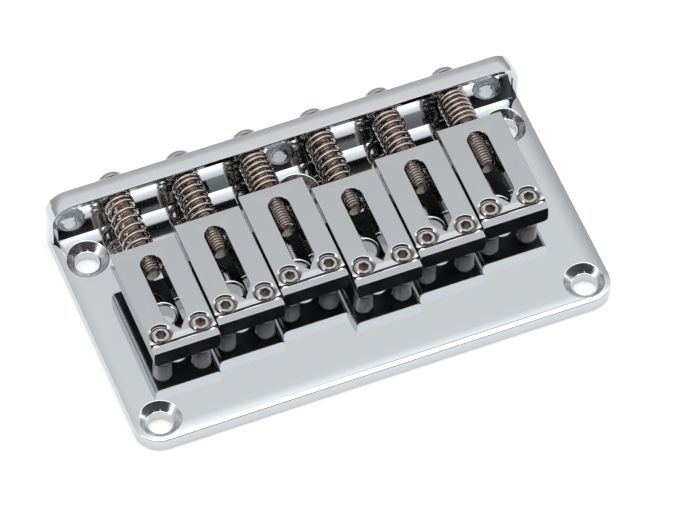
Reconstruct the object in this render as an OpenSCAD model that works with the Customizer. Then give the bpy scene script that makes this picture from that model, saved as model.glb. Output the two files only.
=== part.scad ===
// Fixed bridge for a six-string electric guitar. A die-cast base plate with an
// upright rail carries six block saddles. Each saddle sits on one long
// intonation screw, which passes through the rail and a spring, and on two
// height screws that stand on the plate.
// Millimetres. The origin is the centre of the four corner screw holes, on the
// underside. +X runs across the strings from string 1 to string 6, +Y points to
// the rail, away from the neck, and +Z is up.

/* [Base plate] */
// Width of the plate across the strings
plate_w = 76; // [70:0.5:84]
// Thickness of the flat plate
plate_t = 3; // [2.6:0.1:4]
// Radius of the front corners, seen from above
plate_corner_r = 4; // [3.2:0.1:6]
// Width of the soft crown along the front and side edges
crown_w = 3; // [2:0.1:3]
// Height that the crown loses at the edge
crown_drop = 0.6; // [0.3:0.05:0.9]

/* [Rail] */
// Height of the rail above the axis of the intonation screws
rail_over_axis = 2.9; // [2.6:0.05:4]
// Thickness of the rail
rail_t = 3.35; // [2.8:0.05:4]
// Radius of the rail's upper corners, seen from the front
rail_corner_r = 3.5; // [1.5:0.1:4.5]
// Radius along the rear edge, over the top and down the ends
rail_edge_r = 0.8; // [0.3:0.05:1.2]
// Radius along the front edge, over the top and down the ends
rail_front_r = 0.4; // [0.2:0.05:0.6]
// Height of the arch across the rail's top and ends
rail_arch = 0.18; // [0.05:0.01:0.3]
// Greatest depth of the hollow panel in the rail's front
relief_d = 0.35; // [0.1:0.05:0.6]
// Width of the border round the hollow panel
relief_border = 1; // [0.6:0.1:1.4]
// Depth under the plate's top at which the hollow would run out
relief_root = 0.3; // [0.1:0.05:0.6]

/* [Mounting holes] */
// Spacing of the corner screw holes along the strings
hole_spacing_y = 31.1; // [29:0.1:34]
// Distance of the corner screw holes from the plate's sides
hole_to_side = 3.95; // [3.6:0.05:5]
// Distance of the front screw holes from the plate's front edge
hole_to_front = 3.65; // [3.5:0.05:5]
// Distance of the rear screw holes from the rail
hole_to_rail = 4.5; // [4:0.05:6]
// Diameter of the mounting screws' through holes
screw_hole_d = 3.8; // [3:0.1:4.2]
// Width of the flat step at the foot of the countersink
sink_step = 0.25; // [0.1:0.05:0.4]
// Diameter of the countersink at the plate's surface
sink_d = 6.6; // [6:0.1:6.8]

/* [Strings] */
// Distance between neighbouring strings
string_pitch = 10.8; // [10:0.05:12]
// Diameter of the holes that the strings come up through
string_hole_d = 3.6; // [3:0.1:4]
// Distance of those holes behind the centre of the hole pattern
string_hole_y = 1.8; // [0:0.1:3]
// Width of the chamfer round the mouth of a string hole
string_hole_chamfer = 0.35; // [0.1:0.05:0.6]

/* [Saddles] */
// Gap between neighbouring saddles
saddle_gap = 0.35; // [0.3:0.05:1]
// Height of a saddle block
saddle_h = 3.6; // [3.2:0.1:4.4]
// Height of the saddles' undersides above the plate
saddle_lift = 3.25; // [2.6:0.05:3.6]
// Distance from the height screws to a saddle's front face
saddle_nose = 2.85; // [2.4:0.05:3.5]
// Distance from the height screws to a saddle's rear face
saddle_tail = 16.15; // [15:0.05:16.5]
// Radius of the upper and upright edges
saddle_edge_r = 0.15; // [0.1:0.05:0.5]
// Radius of the lower side edges
saddle_base_r = 0.8; // [0.2:0.1:1.2]
// Distance from the height screws to where the top starts to fall forward
break_y = 0.33; // [0.1:0.01:1]
// Distance from the height screws to the crease in the falling top
crease_y = 1.22; // [1.05:0.01:1.8]
// Drop of the top at the crease
crease_drop = 0.25; // [0.1:0.01:0.35]
// Height and width of the bevelled step at the crease
step_h = 0.36; // [0.1:0.01:0.5]
// Fall of the top from the foot of the step to the front face
nose_fall = 0.04; // [0.01:0.01:0.15]
// Draft of the front face, which leans back towards the top, degrees
front_draft = 3.5; // [0:0.5:6]
// Clearance on each side of the intonation screw in the string slot
slot_clearance = 0.2; // [0.1:0.05:0.3]
// Thickness of the wall behind the slot, which the intonation screw is threaded into
slot_wall = 2; // [1.6:0.1:2.6]
// Distance from the height screws back to the centre of the slot's front end
slot_front = 2.7; // [2.5:0.05:3.5]
// Distance from the height screws forward to the tip of the string ramp
ramp_tip = 0.05; // [0:0.05:0.4]
// Steepness of the string ramp, degrees
ramp_angle = 35; // [25:1:45]

/* [Intonation of the saddles] */
// Distance of string 1's height screws ahead of the hole pattern's centre
bass_start = 5.93; // [4.5:0.05:7]
// Step back from each of strings 1 to 3 to the next
bass_step = 1.5; // [0.5:0.05:2]
// Distance of string 4's height screws ahead of the hole pattern's centre
treble_start = 5.45; // [4.5:0.05:7]
// Step back from each of strings 4 to 6 to the next
treble_step = 1.47; // [0.5:0.05:2]

/* [Screws] */
// Outer diameter of the screw threads
thread_d = 2.9; // [2.8:0.01:2.95]
// Clearance all round a screw in its threaded hole
thread_clearance = 0.05; // [0.03:0.01:0.08]
// Distance of a height screw's axis from the saddle's side
height_screw_edge = 2.1; // [2.05:0.05:2.3]
// Width of the countersink round a height screw
height_sink = 0.4; // [0.2:0.05:0.5]
// Length of a height screw
height_screw_len = 6.5; // [6:0.1:7]
// Width of the hexagon socket across its flats
socket_w = 1.5; // [1.2:0.1:1.6]
// Depth of the hexagon socket
socket_d = 1.6; // [1:0.1:2]
// Height of the bevel round a height screw's top
screw_rim = 0.3; // [0.1:0.05:0.5]
// Diameter of the flat tip of a screw
tip_d = 2; // [1.6:0.1:2.4]
// Gap between a height screw's tip and the plate
foot_gap = 0.25; // [0.2:0.01:0.3]
// Length of an intonation screw under its head
intonation_screw_len = 18; // [16:0.5:19]
// Width of the ring on which an intonation screw's head bears
head_land = 0.5; // [0.4:0.05:1]
// Height of the intonation screw's head
head_h = 1.2; // [1.1:0.1:2.4]
// Radius of the head's rounded edge
head_edge_r = 0.9; // [0.5:0.1:1]
// Length of each arm of the cross recess, from end to end
recess_w = 2.6; // [2:0.1:3]
// Width of the cross recess's arms
recess_t = 0.7; // [0.5:0.05:0.9]
// Depth of the cross recess
recess_d = 0.9; // [0.6:0.1:1]
// Play between the head and the rail, which lets the screw swing
head_gap = 0.2; // [0.15:0.01:0.3]
// Clearance all round an intonation screw in the rail, which lets it swing
rail_hole_clearance = 0.35; // [0.25:0.05:0.5]

/* [Springs] */
// Clearance all round an intonation screw in its spring
spring_clearance = 0.175; // [0.1:0.005:0.3]
// Diameter of the spring wire
wire_d = 0.55; // [0.5:0.01:0.56]
// Least air between neighbouring curls
curl_gap = 0.43; // [0.42:0.01:0.6]
// Play at each end of a spring
spring_play = 0.05; // [0.02:0.01:0.1]

/* [Hidden] */
$fn = 48;
STRINGS = [1, 2, 3, 4, 5, 6];
SIDES = ["left", "right"];

// Length that cutting tools reach past the faces they cut
over = 1;
// Length by which the parts of the casting reach into each other
lap = 1;
half_w = plate_w / 2;
hole_spacing_x = plate_w - 2 * hole_to_side;
plate_front = hole_spacing_y / 2 + hole_to_front;
rail_front = hole_spacing_y / 2 + hole_to_rail;
rail_rear = rail_front + rail_t;
saddle_w = string_pitch - saddle_gap;
saddle_z = plate_t + saddle_lift;
saddle_len = saddle_nose + saddle_tail;
axis_z = saddle_z + saddle_h / 2;
rail_h = axis_z + rail_over_axis;
height_screw_spacing = saddle_w - 2 * height_screw_edge;
thread_hole_d = thread_d + 2 * thread_clearance;
slot_w = thread_d + 2 * slot_clearance;
rail_hole_d = thread_d + 2 * rail_hole_clearance;
spring_d = thread_d + 2 * (spring_clearance + wire_d);
head_d = rail_hole_d + 2 * head_land;
head_seat_y = rail_rear + head_gap;

// Place of string n across the bridge, and of its height screws along it
function string_x(n) = (n - 3.5) * string_pitch;
function screw_y(n) = n < 4 ? -bass_start + (n - 1) * bass_step
                            : -treble_start + (n - 4) * treble_step;
function saddle_rear(n) = screw_y(n) + saddle_tail;

// Section of the crowned edge. It starts at x = start, inside the plate, and its
// outer edge is at the corners' radius. The arc leaves the flat top without a crease.
module crowned_section(start) {
    flat_end = plate_corner_r - crown_w;
    crown_r = (crown_w * crown_w + crown_drop * crown_drop) / (2 * crown_drop);
    translate([start, 0]) square([flat_end - start, plate_t]);
    intersection() {
        translate([flat_end, 0]) square([crown_w, plate_t]);
        translate([flat_end, plate_t - crown_r]) circle(crown_r, $fn = 180);
    }
}

// A crowned strip along the plate's edge, from its left end at the origin
module crowned_strip(length) {
    rotate([90, 0, 90]) linear_extrude(length) crowned_section(-lap);
}

// Flat plate with a crown along its front and sides, made from a flat middle,
// three edge strips and two turned corners. It reaches into the rail.
module plate_slab() {
    inner_w = half_w - plate_corner_r;
    inner_front = -plate_front + plate_corner_r;
    slab_rear = rail_front + lap;
    inner_len = slab_rear - inner_front;
    translate([-inner_w, inner_front, 0]) cube([2 * inner_w, inner_len, plate_t]);
    translate([inner_w, inner_front, 0]) rotate(180) crowned_strip(2 * inner_w);
    translate([inner_w, slab_rear, 0]) rotate(-90) crowned_strip(inner_len);
    translate([-inner_w, inner_front, 0]) rotate(90) crowned_strip(inner_len);
    translate([-inner_w, inner_front, 0]) rotate(180)
        rotate_extrude(angle = 90) crowned_section(0);
    translate([inner_w, inner_front, 0]) rotate(-90)
        rotate_extrude(angle = 90) crowned_section(0);
}

// Outline of the hollow panel from the front, with round upper corners
module relief_outline() {
    r = rail_corner_r - relief_border;
    w = plate_w - 2 * relief_border;
    h = rail_h - relief_border;
    translate([-w / 2, plate_t]) square([w, h - r - plate_t]);
    translate([-w / 2 + r, plate_t]) square([w - 2 * r, h - plate_t]);
    for (side = [-1, 1]) translate([side * (w / 2 - r), h - r]) circle(r);
}

// Hollow panel in the rail's front, down to the plate's top: a wide cylinder
// along the rail, so that the wall leans back at its foot and forward at its top
module relief() {
    half_h = (rail_h - relief_border - plate_t + relief_root) / 2;
    hollow_r = (half_h * half_h + relief_d * relief_d) / (2 * relief_d);
    intersection() {
        translate([0, rail_front + relief_d + over, 0]) rotate([90, 0, 0])
            linear_extrude(relief_d + 2 * over) relief_outline();
        translate([-half_w, rail_front + relief_d - hollow_r, plate_t - relief_root + half_h])
            rotate([0, 90, 0]) cylinder(r = hollow_r, h = plate_w, $fn = 180);
    }
}

// Section of the rail's rim: distance out from the corners' centre line across,
// distance behind the rail's front up. It starts at start, is arched, and its
// edges are round.
module rim_section(start) {
    front_r = rail_front_r;
    rear_r = rail_edge_r;
    arch_r = (rail_t * rail_t / 4 + rail_arch * rail_arch) / (2 * rail_arch);
    intersection() {
        union() {
            translate([start, 0]) square([rail_corner_r - max(front_r, rear_r) - start, rail_t]);
            translate([start, front_r])
                square([rail_corner_r - start, rail_t - front_r - rear_r]);
            translate([rail_corner_r - front_r, front_r]) circle(front_r);
            translate([rail_corner_r - rear_r, rail_t - rear_r]) circle(rear_r);
            translate([start, 0]) square([rail_corner_r - front_r - start, rail_t - rear_r]);
        }
        translate([rail_corner_r - arch_r, rail_t / 2]) circle(arch_r, $fn = 180);
    }
}

// The rail's rim runs up one end, round the corner, over the top and down again
module rail() {
    centre_x = half_w - rail_corner_r;
    centre_z = rail_h - rail_corner_r;
    difference() {
        union() {
            for (side = [-1, 1]) translate([side * centre_x, rail_front, 0])
                mirror([side < 0 ? 1 : 0, 0, 0]) {
                    linear_extrude(centre_z) rim_section(-lap);
                    translate([0, 0, centre_z]) rotate([90, 0, 0]) mirror([0, 0, 1])
                        rotate_extrude(angle = 90) rim_section(0);
                }
            translate([-centre_x, rail_front, centre_z]) rotate([0, -90, 0]) mirror([0, 0, 1])
                linear_extrude(2 * centre_x) rim_section(-centre_z);
        }
        relief();
        for (n = STRINGS) translate([string_x(n), rail_rear + over, axis_z])
            rotate([90, 0, 0]) cylinder(d = rail_hole_d, h = rail_t + 2 * over);
    }
}

// Countersunk hole: a cone down to a small step, then the through hole
module sunk_hole() {
    sink_step_d = screw_hole_d + 2 * sink_step;
    sink_depth = (sink_d - sink_step_d) / 2;
    translate([0, 0, -over]) cylinder(d = screw_hole_d, h = plate_t + 2 * over);
    translate([0, 0, plate_t - sink_depth])
        cylinder(d1 = sink_step_d, d2 = sink_step_d + 2 * (sink_depth + over), h = sink_depth + over);
}

module string_hole() {
    translate([0, 0, -over]) cylinder(d = string_hole_d, h = plate_t + 2 * over);
    translate([0, 0, plate_t - string_hole_chamfer])
        cylinder(d1 = string_hole_d, d2 = string_hole_d + 2 * (string_hole_chamfer + over),
                 h = string_hole_chamfer + over);
}

// Base plate and rail, one zinc casting
module base_plate() {
    color("lightsteelblue") difference() {
        union() {
            plate_slab();
            rail();
        }
        for (x = [-1, 1] * hole_spacing_x / 2, y = [-1, 1] * hole_spacing_y / 2)
            translate([x, y, 0]) sunk_hole();
        translate([0, hole_spacing_y / 2, 0]) sunk_hole();
        for (n = STRINGS) translate([string_x(n), string_hole_y, 0]) string_hole();
    }
}

// Saddle from the front: soft upper corners and rounder lower ones
module saddle_front_outline() {
    w = saddle_w / 2;
    up = saddle_edge_r;
    low = saddle_base_r;
    translate([-w, low]) square([saddle_w, saddle_h - low - up]);
    translate([-w + up, saddle_h / 2]) square([saddle_w - 2 * up, saddle_h / 2]);
    translate([-w + low, 0]) square([saddle_w - 2 * low, saddle_h / 2]);
    for (side = [-1, 1]) {
        translate([side * (w - up), saddle_h - up]) circle(up);
        translate([side * (w - low), low]) circle(low);
    }
}

// Saddle from the side, with the height screws' axis at zero. The top falls
// forward in two shallow facets with a bevelled step between them.
module saddle_side_outline() {
    step_foot = saddle_h - crease_drop - step_h;
    front_h = step_foot - nose_fall;
    polygon([
        [saddle_tail, 0],
        [saddle_tail, saddle_h],
        [-break_y, saddle_h],
        [-crease_y, saddle_h - crease_drop],
        [-crease_y - step_h, step_foot],
        [-saddle_nose + front_h * tan(front_draft), front_h],
        [-saddle_nose, 0]
    ]);
}

// Saddle from above, with soft upright edges
module saddle_plan() {
    r = saddle_edge_r;
    translate([-saddle_w / 2, -saddle_nose + r]) square([saddle_w, saddle_len - 2 * r]);
    translate([-saddle_w / 2 + r, -saddle_nose]) square([saddle_w - 2 * r, saddle_len]);
    for (x = [-1, 1] * (saddle_w / 2 - r), y = [-saddle_nose + r, saddle_tail - r])
        translate([x, y]) circle(r);
}

// The slot goes right through and has round ends. In front of it a pointed
// nose with a sloping floor leads the string up to the top.
module string_slot() {
    r = slot_w / 2;
    rear = saddle_tail - slot_wall - r;
    reach = slot_front + ramp_tip;
    // The nose's sides touch the slot's round end where this angle says
    side_angle = asin(r / reach);
    touch_x = r * cos(side_angle);
    touch_y = slot_front - r * sin(side_angle);
    translate([0, 0, -over]) linear_extrude(saddle_h + 2 * over) {
        for (y = [slot_front, rear]) translate([0, y]) circle(r);
        translate([-r, slot_front]) square([slot_w, rear - slot_front]);
    }
    intersection() {
        linear_extrude(saddle_h + over) polygon([
            [0, -ramp_tip], [touch_x, touch_y], [0, slot_front], [-touch_x, touch_y]
        ]);
        translate([0, -ramp_tip, saddle_h]) rotate([-ramp_angle, 0, 0])
            translate([-slot_w, -over, 0]) cube([2 * slot_w, 2 * reach, 2 * saddle_h]);
    }
}

// Threaded hole for a height screw, countersunk at the top
module height_screw_hole() {
    translate([0, 0, -over]) cylinder(d = thread_hole_d, h = saddle_h + 2 * over);
    translate([0, 0, saddle_h - height_sink])
        cylinder(d1 = thread_hole_d, d2 = thread_hole_d + 2 * (height_sink + over),
                 h = height_sink + over);
}

module saddle_block() {
    intersection() {
        translate([0, saddle_tail, 0]) rotate([90, 0, 0])
            linear_extrude(saddle_len) saddle_front_outline();
        translate([-saddle_w / 2, 0, 0]) rotate([90, 0, 90])
            linear_extrude(saddle_w) saddle_side_outline();
        linear_extrude(saddle_h) saddle_plan();
    }
}

// Saddle of string n, a zinc block
module saddle(n) {
    color("silver") translate([string_x(n), screw_y(n), saddle_z]) difference() {
        saddle_block();
        string_slot();
        for (side = [-1, 1]) translate([side * height_screw_spacing / 2, 0, 0])
            height_screw_hole();
        translate([0, saddle_tail + over, saddle_h / 2]) rotate([90, 0, 0])
            cylinder(d = thread_hole_d, h = slot_wall + slot_w / 2 + over);
    }
}

// Socket screw without a head, tip down, from the plate up into the saddle
module height_screw(n, side) {
    x = string_x(n) + (side == "left" ? -1 : 1) * height_screw_spacing / 2;
    tip_h = (thread_d - tip_d) / 2;
    color("dimgray") translate([x, screw_y(n), plate_t + foot_gap]) difference() {
        union() {
            cylinder(d1 = tip_d, d2 = thread_d, h = tip_h);
            translate([0, 0, tip_h])
                cylinder(d = thread_d, h = height_screw_len - tip_h - screw_rim);
            translate([0, 0, height_screw_len - screw_rim])
                cylinder(d1 = thread_d, d2 = thread_d - 2 * screw_rim, h = screw_rim);
        }
        translate([0, 0, height_screw_len - socket_d]) rotate(30)
            cylinder(d = socket_w / cos(30), h = socket_d + over, $fn = 6);
    }
}

// Turned outline of an intonation screw: radius across, height above the tip up
module intonation_screw_outline() {
    r = thread_d / 2;
    tip_r = tip_d / 2;
    head_r = head_d / 2;
    polygon([
        [0, 0], [tip_r, 0], [r, r - tip_r], [r, intonation_screw_len], [0, intonation_screw_len]
    ]);
    translate([0, intonation_screw_len]) {
        square([head_r, head_h - head_edge_r]);
        square([head_r - head_edge_r, head_h]);
        translate([head_r - head_edge_r, head_h - head_edge_r]) intersection() {
            circle(head_edge_r);
            square(head_edge_r);
        }
    }
}

// Pan-head screw with a cross recess, from behind the rail into the saddle
module intonation_screw(n) {
    color("rosybrown")
        translate([string_x(n), head_seat_y - intonation_screw_len, axis_z])
        rotate([-90, 0, 0]) difference() {
            rotate_extrude() intonation_screw_outline();
            for (turn = [0, 90]) rotate(turn)
                translate([-recess_w / 2, -recess_t / 2, intonation_screw_len + head_h - recess_d])
                cube([recess_w, recess_t, recess_d + over]);
        }
}

// The wire of a spring follows a helix with eight rings to the curl. At each
// end it bends over from the curl and runs straight, square to its seat, for
// one wire diameter. Values along the spring start at the rail.
rings = 8;
wire_sides = 6;
bend_r = 0.5;
wire_path_r = (spring_d - wire_d) / 2;
function spring_len(n) = rail_front - saddle_rear(n) - 2 * spring_play;
function curl_run(n) = spring_len(n) - 2 * (wire_d + bend_r);
function curls(n) = floor(curl_run(n) / (wire_d + curl_gap));

// Ring as [turned angle, distance from the rail]
bend_angle = bend_r / wire_path_r * 180 / PI;
function lead_in() = [
    [0, 0],
    [0, wire_d],
    [bend_angle * (1 - cos(45)), wire_d + bend_r * sin(45)]
];
function wire_rings(n) =
    let (turned = 2 * bend_angle + 360 * curls(n), length = spring_len(n))
    concat(
        lead_in(),
        [for (i = [0 : curls(n) * rings])
            [bend_angle + i * 360 / rings,
             wire_d + bend_r + i * curl_run(n) / (curls(n) * rings)]],
        [for (i = [2 : -1 : 0]) [turned - lead_in()[i][0], length - lead_in()[i][1]]]
    );
function wire_point(ring) = [
    wire_path_r * cos(ring[0]),
    -ring[1],
    wire_path_r * sin(ring[0])
];
function unit(v) = v / norm(v);

module intonation_spring(n) {
    ring_list = wire_rings(n);
    points = [for (ring = ring_list) wire_point(ring)];
    last = len(points) - 1;
    skin = [for (i = [0 : last])
        let (along = unit(points[min(i + 1, last)] - points[max(i - 1, 0)]),
             heading = i == 0 || i == last ? [0, -1, 0] : along,
             out = [cos(ring_list[i][0]), 0, sin(ring_list[i][0])],
             across = unit(cross(heading, out)))
        for (k = [0 : wire_sides - 1])
            let (turn = (k + 0.5) * 360 / wire_sides)
            points[i] + wire_d / 2 * (cos(turn) * out + sin(turn) * across)];
    walls = [for (i = [0 : last - 1], k = [0 : wire_sides - 1])
        let (a = i * wire_sides + k,
             b = i * wire_sides + (k + 1) % wire_sides,
             c = b + wire_sides,
             d = a + wire_sides)
        each [[a, b, c], [a, c, d]]];
    first_cap = [for (k = [1 : wire_sides - 2]) [0, k + 1, k]];
    end = last * wire_sides;
    last_cap = [for (k = [1 : wire_sides - 2]) [end, end + k, end + k + 1]];
    gaps = [for (i = [0 : last], j = [0 : last])
        if (j > i + rings / 2) norm(points[i] - points[j]) - wire_d];
    echo(str("intonation_spring_", n, ": ", curls(n), " curls, least gap to itself ", min(gaps)));
    color("rosybrown")
        translate([string_x(n), rail_front - spring_play, axis_z])
        polyhedron(skin, concat(walls, first_cap, last_cap));
}

base_plate();
for (n = STRINGS) {
    saddle(n);
    intonation_screw(n);
    intonation_spring(n);
    for (side = SIDES)
        height_screw(n, side);
}
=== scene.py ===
from math import cos, pi, radians, sin, tau

import bmesh
import bpy
from mathutils import Matrix, Vector
from mathutils.kdtree import KDTree


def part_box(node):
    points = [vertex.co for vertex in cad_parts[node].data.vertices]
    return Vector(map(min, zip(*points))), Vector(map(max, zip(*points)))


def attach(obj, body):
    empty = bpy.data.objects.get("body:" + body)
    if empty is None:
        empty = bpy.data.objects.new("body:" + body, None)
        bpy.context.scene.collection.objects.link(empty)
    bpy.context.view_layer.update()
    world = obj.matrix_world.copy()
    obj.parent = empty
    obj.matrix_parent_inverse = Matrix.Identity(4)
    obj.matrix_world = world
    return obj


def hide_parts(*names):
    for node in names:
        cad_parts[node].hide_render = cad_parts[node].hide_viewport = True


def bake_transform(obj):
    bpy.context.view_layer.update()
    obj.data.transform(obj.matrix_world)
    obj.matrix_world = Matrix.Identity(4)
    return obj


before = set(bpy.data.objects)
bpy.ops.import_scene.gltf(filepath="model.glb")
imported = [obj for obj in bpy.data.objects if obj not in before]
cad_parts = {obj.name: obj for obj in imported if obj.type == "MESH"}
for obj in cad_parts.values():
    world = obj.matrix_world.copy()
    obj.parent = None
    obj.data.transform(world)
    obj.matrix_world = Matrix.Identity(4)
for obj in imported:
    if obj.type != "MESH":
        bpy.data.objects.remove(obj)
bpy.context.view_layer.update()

# Camera. The photograph looks down on the bridge's front from string 1's side,
# through a long lens, so parallel edges stay almost parallel.
MM = 0.001
IMAGE_W = 684
SENSOR_W = 36
FOCAL_PX = 6000
CAMERA_AZIMUTH = radians(-21.902)
CAMERA_ELEVATION = radians(54.707)
CAMERA_ROLL = radians(0.337)
CAMERA_DISTANCE = 903.14 * MM
CAMERA_PAN = (0.933 * MM, 3.757 * MM)

turned = (
    Matrix.Rotation(CAMERA_AZIMUTH, 4, "Z")
    @ Matrix.Rotation(pi / 2 - CAMERA_ELEVATION, 4, "X")
    @ Matrix.Rotation(CAMERA_ROLL, 4, "Z")
)
camera = bpy.data.objects.new("camera", bpy.data.cameras.new("camera"))
camera.data.sensor_width = SENSOR_W
camera.data.lens = FOCAL_PX / IMAGE_W * SENSOR_W
camera.matrix_world = turned @ Matrix.Translation((*CAMERA_PAN, CAMERA_DISTANCE))
bpy.context.scene.collection.objects.link(camera)
bpy.context.scene.camera = camera
bpy.context.scene.view_settings.view_transform = "Standard"


# Studio. A grey-white room that is brightest overhead, where a large diffuser hangs,
# with a black flag on the camera's side up to 52 degrees, which is what chrome needs to
# show its edges. Both are in the world's light, so they hide nothing from any view.
def linear(hex_colour):
    """An sRGB hex colour as a linear RGBA colour."""
    parts = [int(hex_colour[i:i + 2], 16) / 255 for i in (1, 3, 5)]
    return (*[c / 12.92 if c <= 0.04045 else ((c + 0.055) / 1.055) ** 2.4 for c in parts], 1)


def add_node(tree, kind, values=(), links=(), **settings):
    """Adds a node with its settings. values and links pair an input with a value or an output."""
    node = tree.nodes.new(kind)
    for name, value in settings.items():
        setattr(node, name, value)
    for socket, value in values:
        node.inputs[socket].default_value = value
    for socket, source in links:
        tree.links.new(source, node.inputs[socket])
    return node


def set_stops(ramp_node, stops):
    """Gives a colour ramp these stops, each a place from 0 to 1 and a linear colour."""
    elements = ramp_node.color_ramp.elements
    while len(elements) < len(stops):
        elements.new(1)
    for element, (place, colour) in zip(elements, stops):
        element.position = place
        element.color = colour


# Light by the angle that a direction has climbed over from the far side, in degrees,
# as shares of the brightest
ROOM_LIGHT = 3
ROOM_STOPS = [(0, 0.15), (30, 0.17), (44, 0.21), (52, 0.26), (57, 0.322), (70, 0.33),
              (77, 0.372), (82, 0.41), (87, 0.46), (92, 0.53), (96, 0.7), (100, 1), (107, 1),
              (113, 0.72), (118, 0.57), (124, 0.43), (135, 0.3), (180, 0.24)]
ROOM_TINT = (0.985, 0.995, 1)
# The flag's top edge and darkening foot by height in the sky, its light as a share of
# the room's at the foot and above it, and where it ends, by how far a direction points
# towards the rail
FLAG_TOP = (radians(51.5), radians(53.5))
FLAG_FOOT = (radians(20), radians(45))
FLAG_LIGHT = (0.2, 0.008)
FLAG_END = (-0.35, -0.12)

world = bpy.data.worlds.new("studio")
world.use_nodes = True
bpy.context.scene.world = world
room = world.node_tree
room.nodes.clear()
direction = add_node(room, "ShaderNodeTexCoord").outputs["Generated"]
axes = add_node(room, "ShaderNodeSeparateXYZ", links=[(0, direction)])
climb = add_node(room, "ShaderNodeMath", links=[(0, axes.outputs[2]), (1, axes.outputs[1])],
                 operation="ARCTAN2")
climb_share = add_node(room, "ShaderNodeMath", values=[(1, pi)], links=[(0, climb.outputs[0])],
                       operation="DIVIDE")
walls = add_node(room, "ShaderNodeValToRGB", links=[(0, climb_share.outputs[0])])
set_stops(walls, [(angle / 180, (*[light * tint for tint in ROOM_TINT], 1))
                  for angle, light in ROOM_STOPS])
over_flag = add_node(room, "ShaderNodeMapRange", links=[(0, axes.outputs[2])],
                     values=[(1, sin(FLAG_TOP[0])), (2, sin(FLAG_TOP[1])), (3, 0), (4, 1)],
                     interpolation_type="SMOOTHSTEP")
behind_flag = add_node(room, "ShaderNodeMapRange", links=[(0, axes.outputs[1])],
                       values=[(1, FLAG_END[0]), (2, FLAG_END[1]), (3, 0), (4, 1)],
                       interpolation_type="SMOOTHSTEP")
flag = add_node(room, "ShaderNodeMapRange", links=[(0, axes.outputs[2])],
                values=[(1, sin(FLAG_FOOT[0])), (2, sin(FLAG_FOOT[1])), (3, FLAG_LIGHT[0]),
                        (4, FLAG_LIGHT[1])])
past_flag = add_node(room, "ShaderNodeMath", operation="MAXIMUM",
                     links=[(0, over_flag.outputs[0]), (1, behind_flag.outputs[0])])
shade = add_node(room, "ShaderNodeMath", operation="MAXIMUM",
                 links=[(0, past_flag.outputs[0]), (1, flag.outputs[0])])
flagged = add_node(room, "ShaderNodeVectorMath", operation="SCALE",
                   links=[(0, walls.outputs[0]), ("Scale", shade.outputs[0])])
room_light = add_node(room, "ShaderNodeBackground", values=[(1, ROOM_LIGHT)],
                      links=[(0, flagged.outputs[0])])
white = add_node(room, "ShaderNodeBackground", values=[(0, (1, 1, 1, 1)), (1, 1)])
seen = add_node(room, "ShaderNodeLightPath")
backdrop = add_node(room, "ShaderNodeMixShader", links=[(0, seen.outputs["Is Camera Ray"]),
                                                        (1, room_light.outputs[0]),
                                                        (2, white.outputs[0])])
add_node(room, "ShaderNodeOutputWorld", links=[(0, backdrop.outputs[0])])

# The lamp only lights the paper and casts the shadow. The chrome sees the room's
# own bright ceiling in its place, whose edge is soft.
LAMP_SIZE = (0.9, 0.6)
LAMP_AT = (0, 0.08, 0.9)
LAMP_LIGHT = 1.2

lamp = bpy.data.objects.new("diffuser", bpy.data.lights.new("diffuser", "AREA"))
lamp.data.shape = "RECTANGLE"
lamp.data.size, lamp.data.size_y = LAMP_SIZE
lamp.data.energy = LAMP_LIGHT * pi * LAMP_SIZE[0] * LAMP_SIZE[1]
lamp.location = LAMP_AT
lamp.visible_glossy = False
bpy.context.scene.collection.objects.link(lamp)


# Floor. White seamless paper, which the camera and the chrome see as plain white,
# with a faint shadow under the bridge.
FLOOR_SIZE = 4
PAPER_GLOW = 0.3

paper = bpy.data.materials.new("white seamless paper")
paper.use_nodes = True
tree = paper.node_tree
tree.nodes.clear()
seen = add_node(tree, "ShaderNodeLightPath")
direct = add_node(tree, "ShaderNodeMath", operation="MAXIMUM",
                  links=[(0, seen.outputs["Is Camera Ray"]), (1, seen.outputs["Is Glossy Ray"])])
shown = add_node(tree, "ShaderNodeMath", operation="MAXIMUM",
                 links=[(0, direct.outputs[0]), (1, seen.outputs["Is Transmission Ray"])])
glow = add_node(tree, "ShaderNodeMath", operation="MULTIPLY", values=[(1, PAPER_GLOW)],
                links=[(0, shown.outputs[0])])
surface = add_node(tree, "ShaderNodeBsdfPrincipled",
                   values=[("Base Color", linear("#DEDEDE")), ("Roughness", 1),
                           ("Specular IOR Level", 0), ("Emission Color", (1, 1, 1, 1))],
                   links=[("Emission Strength", glow.outputs[0])])
add_node(tree, "ShaderNodeOutputMaterial", links=[(0, surface.outputs[0])])

mesh = bmesh.new()
bmesh.ops.create_grid(mesh, x_segments=1, y_segments=1, size=FLOOR_SIZE / 2)
floor = bpy.data.objects.new("floor", bpy.data.meshes.new("floor"))
mesh.to_mesh(floor.data)
mesh.free()
floor.data.materials.append(paper)
bpy.context.scene.collection.objects.link(floor)


# Base plate. One zinc casting, plate and rail together, ground, polished and
# chrome plated. Polishing has rounded its sharp edges by a tenth of a millimetre
# and left the faces very slightly wavy.

# Convex edges bent by more than EDGE_ANGLE are rounded, and faces narrower than FILLET_W
# count as rounded already. FOLD_ANGLE and FOLD_AREA tell a fold in the result, and the
# edges within FOLD_REACH radii of one stay sharp.
EDGE_ANGLE = radians(28)
ROUNDED_ANGLE = radians(60)
FILLET_W = 0.32 * MM
MERGE_GAP = 0.0005 * MM
FOLD_ANGLE = radians(150)
FOLD_AREA = 0.0002 * MM * MM
FOLD_REACH = 2
BEVEL_TRIES = 12
PLATE_EDGE_R = 0.11 * MM


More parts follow.
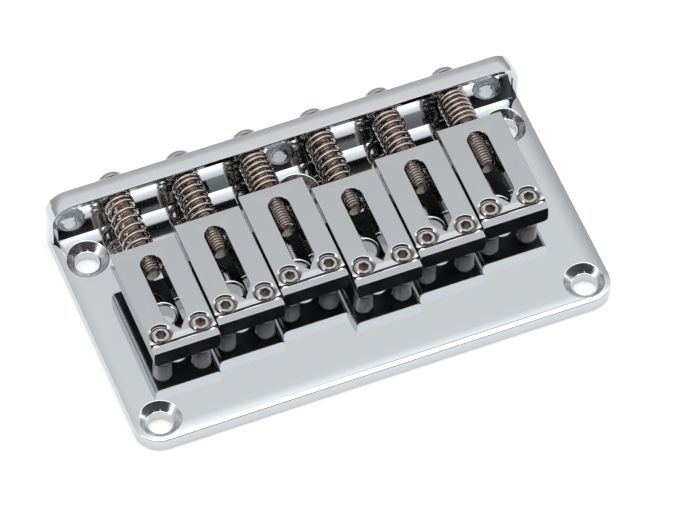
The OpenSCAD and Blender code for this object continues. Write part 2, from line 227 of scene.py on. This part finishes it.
def new_piece(name, mesh, material, body):
    """Makes a piece from a bmesh, which it frees, and lets it ride on a body."""
    data = bpy.data.meshes.new(name)
    mesh.to_mesh(data)
    mesh.free()
    data.materials.append(material)
    data.shade_smooth()
    piece = bpy.data.objects.new(name, data)
    bpy.context.scene.collection.objects.link(piece)
    if body:
        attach(piece, body)
    return piece


def softened(node, edge_r):
    """A copy of a CAD node's mesh, merged, with its sharp edges rounded where there is room."""
    blank = bmesh.new()
    blank.from_mesh(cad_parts[node].data)
    on_edge = blank.faces.layers.int.new("rounded edge")
    for face in blank.faces:
        face.material_index = 0
    bmesh.ops.remove_doubles(blank, verts=blank.verts, dist=MERGE_GAP)
    for face in blank.faces:
        width = 2 * face.calc_area() / max(edge.calc_length() for edge in face.edges)
        face[on_edge] = int(width < FILLET_W)
    sharp = {edge.index for edge in blank.edges
             if edge.calc_face_angle() > EDGE_ANGLE and edge.is_convex}
    for attempt in range(BEVEL_TRIES):
        mesh = blank.copy()
        mesh.edges.ensure_lookup_table()
        on_edge = mesh.faces.layers.int["rounded edge"]
        rounded = bmesh.ops.bevel(mesh, geom=[mesh.edges[i] for i in sorted(sharp)], offset=edge_r,
                                  offset_type="OFFSET", segments=2, profile=0.5, affect="EDGES",
                                  material=-1, clamp_overlap=False)
        for face in rounded["faces"]:
            face[on_edge] = 1
        # Where a bevel has had no room its faces fold over, so those edges stay sharp
        folds = [vert.co.copy() for edge in mesh.edges for vert in edge.verts
                 if edge.calc_face_angle() > FOLD_ANGLE
                 and min(face.calc_area() for face in edge.link_faces) > FOLD_AREA]
        nearest = KDTree(len(folds))
        for i, spot in enumerate(folds):
            nearest.insert(spot, i)
        nearest.balance()
        blank.edges.ensure_lookup_table()
        cramped = {i for i in sharp for vert in blank.edges[i].verts
                   if folds and nearest.find(vert.co)[2] < FOLD_REACH * edge_r}
        if not cramped or attempt == BEVEL_TRIES - 1:
            break
        sharp -= cramped
        mesh.free()
    blank.free()
    return mesh


def even_shading(piece):
    """Shades flat faces flat right up to their rounded edges, which alone turn."""
    data = piece.data
    faces = data.polygons
    on_edge = [entry.value for entry in data.attributes["rounded edge"].data]
    around = [[] for _ in data.vertices]
    for face in faces:
        for vert in face.vertices:
            around[vert].append(face.index)
    normals = []
    for face in faces:
        turn = cos(ROUNDED_ANGLE if on_edge[face.index] else EDGE_ANGLE)
        for vert in face.vertices:
            near = [i for i in around[vert] if faces[i].normal.dot(face.normal) > turn]
            whole = [i for i in near if not on_edge[i]]
            total = sum((faces[i].normal * faces[i].area for i in whole or near), Vector())
            normals.append(total.normalized())
    data.normals_split_custom_set(normals)


# Noise lies mostly in HAZE_RANGE, over which the roughness runs between these two shares
# of its own value
HAZE_SIZE = 4 * MM
HAZE_RANGE = (0.3, 0.7)
HAZE_ROUGHNESS = (0.7, 1.3)


def chrome_plate(name, colour, roughness):
    """Chrome: a cold mirror, with a fine haze in patches where the buff has lain longer."""
    material = bpy.data.materials.new(name)
    material.use_nodes = True
    tree = material.node_tree
    surface = tree.nodes["Principled BSDF"]
    surface.inputs["Base Color"].default_value = linear(colour)
    surface.inputs["Metallic"].default_value = 1
    place = add_node(tree, "ShaderNodeTexCoord").outputs["Object"]
    haze = add_node(tree, "ShaderNodeTexNoise", links=[("Vector", place)],
                    values=[("Scale", 1 / HAZE_SIZE), ("Detail", 3)])
    shine = add_node(tree, "ShaderNodeMapRange", links=[(0, haze.outputs[0])],
                     values=[(1, HAZE_RANGE[0]), (2, HAZE_RANGE[1]),
                             (3, roughness * HAZE_ROUGHNESS[0]),
                             (4, roughness * HAZE_ROUGHNESS[1])])
    tree.links.new(shine.outputs[0], surface.inputs["Roughness"])
    return material


def make_wavy(material, wave, depth):
    """Gives a chrome the faint waves that polishing or casting leaves under it."""
    tree = material.node_tree
    place = add_node(tree, "ShaderNodeTexCoord").outputs["Object"]
    waves = add_node(tree, "ShaderNodeTexNoise", links=[("Vector", place)],
                     values=[("Scale", 1 / wave), ("Detail", 1)])
    bump = add_node(tree, "ShaderNodeBump", links=[("Height", waves.outputs[0])],
                    values=[("Strength", 1), ("Distance", depth)])
    tree.links.new(bump.outputs[0], tree.nodes["Principled BSDF"].inputs["Normal"])


# The brightest chrome here, which shows the room and the saddles clearly
plate_chrome = chrome_plate("bright chrome on polished zinc", "#CDD0D3", 0.06)
make_wavy(plate_chrome, 3 * MM, 0.002 * MM)
plate = new_piece("base_plate_polished", softened("base_plate", PLATE_EDGE_R), plate_chrome,
                  "base")

# The countersinks are turned after casting, so thin rings show through their chrome.
# They are drawn as coarse as they need to be to show.
SINK_X = 34.05 * MM
SINK_Y = 15.55 * MM
SINK_CENTRES = [(x, y) for x in (-SINK_X, SINK_X) for y in (-SINK_Y, SINK_Y)] + [(0, SINK_Y)]
SINK_R = 3.35 * MM
SINK_SLOPE = (0.6, 0.8)
RING_PITCH = 0.16 * MM
RING_DEPTH = 0.004 * MM

turned_chrome = chrome_plate("chrome on turned zinc", "#C6C7CA", 0.12)
tree = turned_chrome.node_tree
place = add_node(tree, "ShaderNodeTexCoord").outputs["Object"]
height = add_node(tree, "ShaderNodeSeparateXYZ", links=[(0, place)])
phase = add_node(tree, "ShaderNodeMath", operation="MULTIPLY", values=[(1, tau / RING_PITCH)],
                 links=[(0, height.outputs[2])])
rings = add_node(tree, "ShaderNodeMath", operation="SINE", links=[(0, phase.outputs[0])])
groove = add_node(tree, "ShaderNodeBump", links=[("Height", rings.outputs[0])],
                  values=[("Strength", 1), ("Distance", RING_DEPTH)])
tree.links.new(groove.outputs[0], tree.nodes["Principled BSDF"].inputs["Normal"])
plate.data.materials.append(turned_chrome)
for face in plate.data.polygons:
    away = min(Vector((face.center.x - x, face.center.y - y)).length for x, y in SINK_CENTRES)
    if away < SINK_R and SINK_SLOPE[0] < face.normal.z < SINK_SLOPE[1]:
        face.material_index = 1
even_shading(plate)
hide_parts("base_plate")


# Saddles. Six alike zinc blocks, drilled and slotted, then chromed. Each hangs on its
# intonation screw and stands on two height screws.
STRINGS = range(1, 7)
SADDLE_EDGE_R = 0.09 * MM
UNDERSIDE_SLOPE = -0.9

# Greyer and a little softer than the plate's
saddle_chrome = chrome_plate("satin-bright chrome on zinc", "#BCBEC1", 0.08)
make_wavy(saddle_chrome, 2.2 * MM, 0.001 * MM)
# Thin plating on a rough casting, dull, with its colour darkened as painted shade, which keeps the
# gap under a saddle dark
saddle_underside_painted_shade = chrome_plate("rough chrome darkened as painted shade", "#4A4A4E", 0.5)
make_wavy(saddle_underside_painted_shade, 0.6 * MM, 0.01 * MM)
for n in STRINGS:
    saddle = new_piece(f"saddle_{n}_polished", softened(f"saddle_{n}", SADDLE_EDGE_R),
                       saddle_chrome, f"string_{n}_saddle")
    saddle.data.materials.append(saddle_underside_painted_shade)
    # Faces that look down take the underside chrome, whose dark colour is painted shade
    for face in saddle.data.polygons:
        if face.normal.z < UNDERSIDE_SLOPE:
            face.material_index = 1
    even_shading(saddle)
    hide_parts(f"saddle_{n}")


# Height screws. Socket screws of 3 mm without heads, rolled threads, nickel plated,
# with a bevelled rim and a 1.5 mm hexagon socket. Two stand under each saddle.
THREAD_PITCH = 0.5 * MM
THREAD_DEPTH = 0.2 * MM
THREAD_STEPS = 20
THREAD_START = -1.37 * THREAD_PITCH
SPARE_TURNS = 4
SEAM_GAP = 0.002 * MM
CREASE_ANGLE = radians(40)
SOCKET_W = 1.5 * MM
SOCKET_DEPTH = 1.6 * MM
SCREW_RIM = 0.3 * MM
TIP_BEVEL = 0.45 * MM


def threaded_rod(radius, length, foot_bevel, top_bevel):
    """A rod with a right-hand thread, standing on the origin along Z, bevelled at both ends."""
    core = radius - THREAD_DEPTH
    turns = int(length / THREAD_PITCH) + SPARE_TURNS
    # The thread's outline, as radius and share of the pitch. It starts under the foot
    # and runs on past the top, and both ends are cut off flat.
    outline = [(core, 0.06), (radius, 0.44), (radius, 0.56), (core, 0.94), (core, 1.06)]
    mesh = bmesh.new()
    points = [mesh.verts.new((r, 0, THREAD_START + share * THREAD_PITCH))
              for r, share in outline]
    lines = [mesh.edges.new(pair) for pair in zip(points, points[1:])]
    bmesh.ops.spin(mesh, geom=points + lines, cent=(0, 0, 0), axis=(0, 0, 1),
                   dvec=(0, 0, THREAD_PITCH / THREAD_STEPS), angle=tau * turns,
                   steps=THREAD_STEPS * turns)
    bmesh.ops.remove_doubles(mesh, verts=mesh.verts, dist=SEAM_GAP)
    for height, side in ((0, -1), (length, 1)):
        cut = bmesh.ops.bisect_plane(mesh, geom=mesh.verts[:] + mesh.edges[:] + mesh.faces[:],
                                     plane_co=(0, 0, height), plane_no=(0, 0, side),
                                     clear_outer=True)["geom_cut"]
        bmesh.ops.holes_fill(mesh, edges=[e for e in cut if isinstance(e, bmesh.types.BMEdge)])
    for vert in mesh.verts:
        reach = Vector((vert.co.x, vert.co.y)).length
        most = radius - max(foot_bevel - vert.co.z, top_bevel - (length - vert.co.z), 0)
        if reach > most:
            vert.co.x *= most / reach
            vert.co.y *= most / reach
    bmesh.ops.recalc_face_normals(mesh, faces=mesh.faces)
    return mesh


def as_object(mesh):
    """A loose object from a bmesh, for a cut or a join."""
    data = bpy.data.meshes.new("tool")
    mesh.to_mesh(data)
    mesh.free()
    return bpy.data.objects.new("tool", data)


def combined(mesh, tool_mesh, operation):
    """One bmesh, cut by or joined with another. Both are freed."""
    blank, tool = as_object(mesh), as_object(tool_mesh)
    bpy.context.scene.collection.objects.link(blank)
    bpy.context.scene.collection.objects.link(tool)
    boolean = blank.modifiers.new("cut", "BOOLEAN")
    boolean.operation = operation
    boolean.object = tool
    boolean.solver = "EXACT"
    bpy.context.view_layer.update()
    result = bmesh.new()
    result.from_mesh(blank.evaluated_get(bpy.context.evaluated_depsgraph_get()).data)
    bpy.data.objects.remove(blank)
    bpy.data.objects.remove(tool)
    return result


# As for the chrome's haze, but in spots of half a millimetre
GRAIN_SIZE = 0.5 * MM
GRAIN_RANGE = (0.3, 0.7)
GRAIN_ROUGHNESS = (0.7, 1.4)


def nickel_steel(name, colour, tarnish, roughness):
    """Nickel-plated steel: warm grey metal, browner where wear and polish never reach."""
    material = bpy.data.materials.new(name)
    material.use_nodes = True
    tree = material.node_tree
    surface = tree.nodes["Principled BSDF"]
    surface.inputs["Metallic"].default_value = 1
    place = add_node(tree, "ShaderNodeTexCoord").outputs["Object"]
    grain = add_node(tree, "ShaderNodeTexNoise", links=[("Vector", place)],
                     values=[("Scale", 1 / GRAIN_SIZE), ("Detail", 4)])
    mix = add_node(tree, "ShaderNodeMix", data_type="RGBA", links=[(0, grain.outputs[0])],
                   values=[(6, linear(colour)), (7, linear(tarnish))])
    tree.links.new(mix.outputs[2], surface.inputs["Base Color"])
    shine = add_node(tree, "ShaderNodeMapRange", links=[(0, grain.outputs[0])],
                     values=[(1, GRAIN_RANGE[0]), (2, GRAIN_RANGE[1]),
                             (3, roughness * GRAIN_ROUGHNESS[0]),
                             (4, roughness * GRAIN_ROUGHNESS[1])])
    tree.links.new(shine.outputs[0], surface.inputs["Roughness"])
    return material


# A warm, clean shine on the rims and heads
screw_nickel = nickel_steel("nickel-plated screw steel", "#D6D0CF", "#B4ADAA", 0.12)
# Duller and paler, because grease and dust in the turns scatter light as well
SHAFT_METALLIC = 0.6
thread_satin = nickel_steel("satin nickel on rolled threads", "#E0DCDD", "#C6C1C3", 0.42)
thread_satin.node_tree.nodes["Principled BSDF"].inputs["Metallic"].default_value = SHAFT_METALLIC
# Softer, as the socket is left unpolished, and browner and darker as painted shade in its recess
socket_painted_shade = nickel_steel("rough nickel darkened as painted shade in a socket", "#A89E9A", "#857B78", 0.25)
# How far each socket is turned, in degrees, from string 1's left screw on
SOCKET_TURNS = [12, 41, 3, 27, 50, 18, 35, 8, 22, 55, 30, 46]
# What counts as shaft starts this far under the socket's floor, and what counts as
# socket lies within this share of its width and this far under the rim
SHAFT_DROP = 0.1 * MM
SOCKET_SHARE = 0.55
RIM_DROP = 0.05 * MM

low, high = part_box("height_screw_1_left")
screw_r = (high.x - low.x) / 2
screw_len = high.z - low.z
blank = threaded_rod(screw_r, screw_len, TIP_BEVEL, SCREW_RIM)
socket = bmesh.new()
corner_r = SOCKET_W / 2 / cos(radians(30))
bmesh.ops.create_cone(socket, cap_ends=True, segments=6, radius1=corner_r, radius2=corner_r,
                      depth=2 * SOCKET_DEPTH, matrix=Matrix.Translation((0, 0, screw_len)))
height_screw_shape = combined(blank, socket, "DIFFERENCE")
for n in STRINGS:
    for s, side in enumerate(("left", "right")):
        node = f"height_screw_{n}_{side}"
        low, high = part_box(node)
        middle = Vector(((low.x + high.x) / 2, (low.y + high.y) / 2))
        seat = Matrix.Translation((*middle, low.z))
        mesh = height_screw_shape.copy()
        mesh.transform(seat @ Matrix.Rotation(radians(SOCKET_TURNS[2 * n - 2 + s]), 4, "Z"))
        screw = new_piece(f"{node}_threaded", mesh, screw_nickel,
                          f"string_{n}_height_screw_{side}")
        screw.data.materials.append(thread_satin)
        screw.data.materials.append(socket_painted_shade)
        # Shaft faces take the satin nickel, and faces inside the socket the darker nickel that is
        # painted shade
        for face in screw.data.polygons:
            reach = (face.center.xy - middle).length
            if face.center.z < high.z - SOCKET_DEPTH - SHAFT_DROP:
                face.material_index = 1
            elif reach < SOCKET_W * SOCKET_SHARE and face.center.z < high.z - RIM_DROP:
                face.material_index = 2
        screw.data.set_sharp_from_angle(angle=CREASE_ANGLE)
        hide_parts(node)
height_screw_shape.free()


# Intonation screws. Long 3 mm screws of the same nickel-plated steel, threaded up
# to a pan head with a cross recess, which bears on the back of the rail.
HEAD_H = 1.2 * MM
HEAD_EDGE_R = 0.9 * MM
HEAD_ROOT = 0.4 * MM
HEAD_STEPS = 40
ARC_STEPS = 6
AXIS_GAP = 0.001 * MM
CROSS_REACH = 1.3 * MM
CROSS_HALF_W = 0.35 * MM
CROSS_DEPTH = 0.9 * MM
CROSS_TAPER = 0.6

# Tarnished where a cloth never reaches, so warmer and blotchier than the heads
thread_nickel = nickel_steel("aged nickel on rolled threads", "#D8CDC6", "#AD9C92", 0.14)
low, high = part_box("intonation_screw_1")
head_r = (high.x - low.x) / 2
shank = high.y - low.y - HEAD_H
blank = threaded_rod(screw_r, shank + HEAD_ROOT, TIP_BEVEL, 0)
head = bmesh.new()
outline = [(0, 0), (head_r, 0), (head_r, HEAD_H - HEAD_EDGE_R)]
for i in range(1, ARC_STEPS + 1):
    turn = i / ARC_STEPS * pi / 2
    outline.append((head_r - HEAD_EDGE_R + HEAD_EDGE_R * cos(turn),
                    HEAD_H - HEAD_EDGE_R + HEAD_EDGE_R * sin(turn)))
outline.append((0, HEAD_H))
points = [head.verts.new((r, 0, shank + z)) for r, z in outline]
lines = [head.edges.new(pair) for pair in zip(points, points[1:])]
bmesh.ops.spin(head, geom=points + lines, cent=(0, 0, 0), axis=(0, 0, 1), angle=tau,
               steps=HEAD_STEPS, use_merge=True)
bmesh.ops.remove_doubles(head, verts=head.verts, dist=AXIS_GAP)
bmesh.ops.recalc_face_normals(head, faces=head.faces)
intonation_screw_shape = combined(blank, head, "UNION")
for turn in (0, pi / 2):
    arm = bmesh.new()
    bmesh.ops.create_cube(arm, size=2)
    bmesh.ops.scale(arm, verts=arm.verts, vec=(CROSS_REACH, CROSS_HALF_W, CROSS_DEPTH))
    foot = [v for v in arm.verts if v.co.z < 0]
    bmesh.ops.scale(arm, verts=foot, vec=(CROSS_TAPER, CROSS_TAPER, 1))
    bmesh.ops.translate(arm, verts=arm.verts, vec=(0, 0, shank + HEAD_H))
    bmesh.ops.rotate(arm, verts=arm.verts, matrix=Matrix.Rotation(turn, 3, "Z"))
    intonation_screw_shape = combined(intonation_screw_shape, arm, "DIFFERENCE")
# How far each head's cross is turned, in degrees
HEAD_TURNS = [20, 65, 5, 48, 31, 80]
for n in STRINGS:
    node = f"intonation_screw_{n}"
    low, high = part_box(node)
    seat = Matrix.Translation(((low.x + high.x) / 2, low.y, (low.z + high.z) / 2))
    mesh = intonation_screw_shape.copy()
    mesh.transform(seat @ Matrix.Rotation(-pi / 2, 4, "X")
                   @ Matrix.Rotation(radians(HEAD_TURNS[n - 1]), 4, "Z"))
    screw = new_piece(f"{node}_threaded", mesh, thread_nickel,
                      f"string_{n}_intonation_screw")
    screw.data.materials.append(screw_nickel)
    for face in screw.data.polygons:
        if face.center.y > low.y + shank:
            face.material_index = 1
    screw.data.set_sharp_from_angle(angle=CREASE_ANGLE)
    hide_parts(node)
intonation_screw_shape.free()


# Springs. Nickel-plated music wire, coiled to one length and pressed to six
# different ones by the saddles. The end curls lie closed against their seats.
WIRE_D = 0.6 * MM
WIRE_SIDES = 12
WIRE_CREASE = radians(60)
SPRING_OUTER_R = 2.38 * MM
SPRING_OFFSET = 0.3 * MM
OPEN_TURNS = 5.1
CLOSED_ADVANCE = 0.62 * MM
CURL_STEPS = 28

# Wire takes the brownest tarnish of all, with narrow bright lines along the curls
spring_nickel = nickel_steel("nickel-plated music wire", "#D2C6C0", "#A08F87", 0.12)
for n in STRINGS:
    node = f"intonation_spring_{n}"
    low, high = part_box(node)
    length = high.y - low.y
    open_advance = (length - WIRE_D - 2 * CLOSED_ADVANCE) / OPEN_TURNS
    mesh = bmesh.new()
    first = Matrix.Translation((SPRING_OUTER_R - WIRE_D / 2, 0, WIRE_D / 2))
    bmesh.ops.create_circle(mesh, segments=WIRE_SIDES, radius=WIRE_D / 2,
                            matrix=first @ Matrix.Rotation(pi / 2, 4, "X"))
    first_edges = mesh.edges[:]
    last = mesh.verts[:] + first_edges
    for turns, advance in ((1, CLOSED_ADVANCE), (OPEN_TURNS, open_advance), (1, CLOSED_ADVANCE)):
        steps = round(turns * CURL_STEPS)
        last = bmesh.ops.spin(mesh, geom=last, cent=(0, 0, 0), axis=(0, 0, 1),
                              dvec=(0, 0, turns * advance / steps), angle=tau * turns,
                              steps=steps)["geom_last"]
    last_edges = [e for e in last if isinstance(e, bmesh.types.BMEdge)]
    bmesh.ops.holes_fill(mesh, edges=first_edges + last_edges)
    bmesh.ops.recalc_face_normals(mesh, faces=mesh.faces)
    axis_x, axis_z = (low.x + high.x) / 2, (low.z + high.z) / 2
    seat = Matrix.Translation((axis_x - SPRING_OFFSET, high.y, axis_z))
    mesh.transform(seat @ Matrix.Rotation(pi / 2, 4, "X"))
    spring = new_piece(f"{node}_wound", mesh, spring_nickel, None)
    spring.data.set_sharp_from_angle(angle=WIRE_CREASE)
    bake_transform(spring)
    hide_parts(node)
